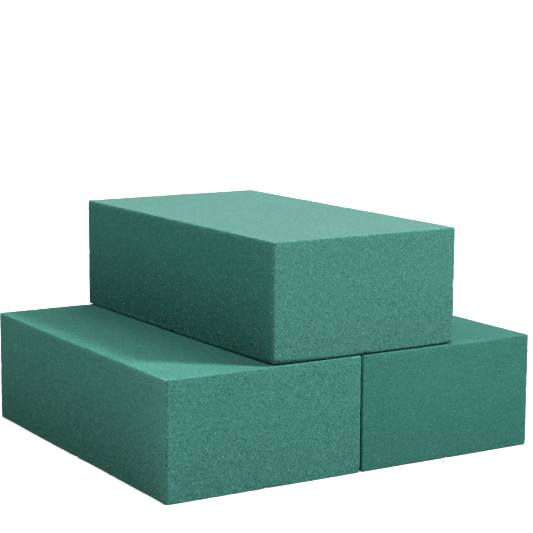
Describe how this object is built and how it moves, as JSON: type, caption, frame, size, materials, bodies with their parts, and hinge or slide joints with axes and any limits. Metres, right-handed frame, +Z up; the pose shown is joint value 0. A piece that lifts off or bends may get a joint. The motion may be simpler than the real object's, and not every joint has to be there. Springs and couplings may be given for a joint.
{
  "type": "floral foam brick",
  "caption": "Stack of rectangular floral foam bricks: light open-celled foam blocks with eased edges that soak up water and grip the cut stems pushed into their faces.",
  "frame": {"origin": "centre of the bounding box's base, on the surface that the lower bricks stand on", "axes": "+Z up; +X across the short sides of the bricks, from the lower left brick to the lower right one; -Y is the front, where the short faces show"},
  "size_m": [0.2538, 0.2316, 0.1403],
  "materials": {
    "floral_foam": "matte, finely porous, dusty open-celled foam"
  },
  "bodies": {
    "lower_left": {"lower_left_brick": "floral_foam"},
    "lower_right": {"lower_right_brick": "floral_foam"},
    "top": {"top_brick": "floral_foam"}
  },
  "joints": [
    {"name": "lift_top", "type": "slide", "parent": "lower_left", "child": "top", "axis": [0, 0, 1], "range_m": [0, 0.09]},
    {"name": "slide_lower_right", "type": "slide", "parent": "lower_left", "child": "lower_right", "axis": [1, 0, 0], "range_m": [0, 0.13]}
  ]
}
